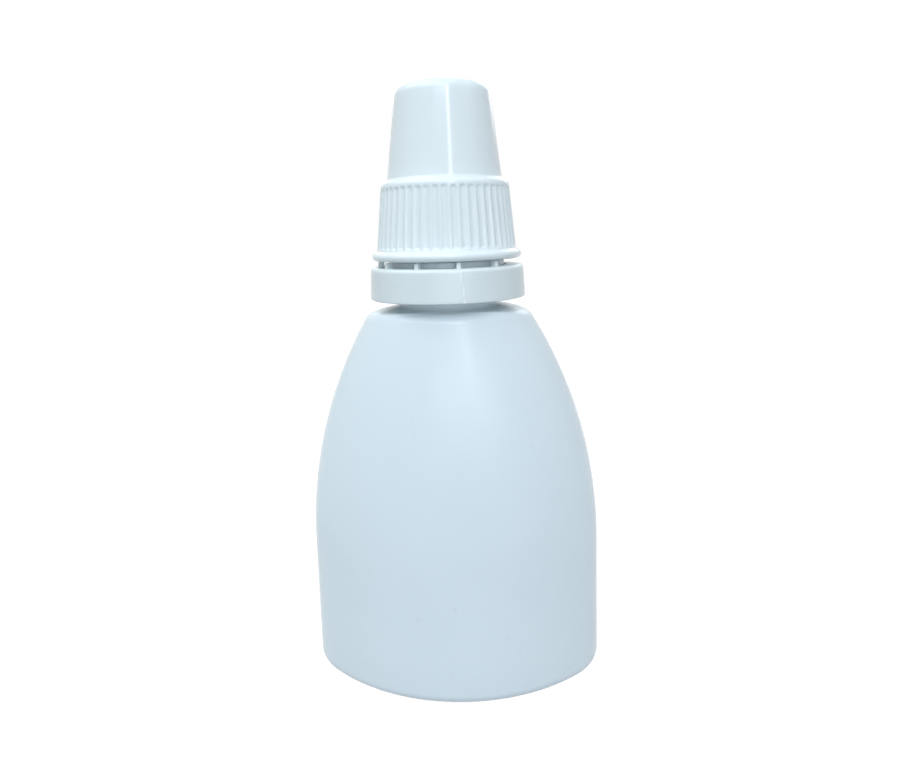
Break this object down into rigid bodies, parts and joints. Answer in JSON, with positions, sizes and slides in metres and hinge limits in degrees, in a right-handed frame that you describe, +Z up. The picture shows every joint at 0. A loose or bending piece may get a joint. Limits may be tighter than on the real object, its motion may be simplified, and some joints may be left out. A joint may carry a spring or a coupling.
{
  "type": "eye drop bottle",
  "caption": "Squeezable oval eye drop bottle with a sloping shoulder, a dropper tip pressed into its neck, a ribbed screw cap with a tapering smooth top, and a tamper ring below the cap.",
  "frame": {"origin": "centre of the base, on the surface that the bottle stands on", "axes": "+Z up along the neck, +X along the body's width, and the front faces -Y"},
  "size_m": [0.0338, 0.0208, 0.0672],
  "materials": {
    "bottle_plastic": "satin, slightly cloudy",
    "tip_plastic": "satin",
    "cap_plastic": "glossy",
    "ring_plastic": "satin"
  },
  "bodies": {
    "bottle": {"bottle": "bottle_plastic", "dropper_tip": "tip_plastic"},
    "tamper_ring": {"tamper_ring": "ring_plastic"},
    "screw_cap": {"screw_cap": "cap_plastic"}
  },
  "joints": [
    {"name": "ring_turn", "type": "hinge", "parent": "bottle", "child": "tamper_ring", "pos_m": [0, 0, 0], "axis": [0, 0, 1], "range_deg": [0, 3600]},
    {"name": "cap_lift", "type": "slide", "parent": "tamper_ring", "child": "screw_cap", "axis": [0, 0, 1], "range_m": [0, 0.021]}
  ],
  "couplings": [
    {"joint": "cap_lift", "follows": "ring_turn", "m_per_rad": 0.00033423}
  ]
}
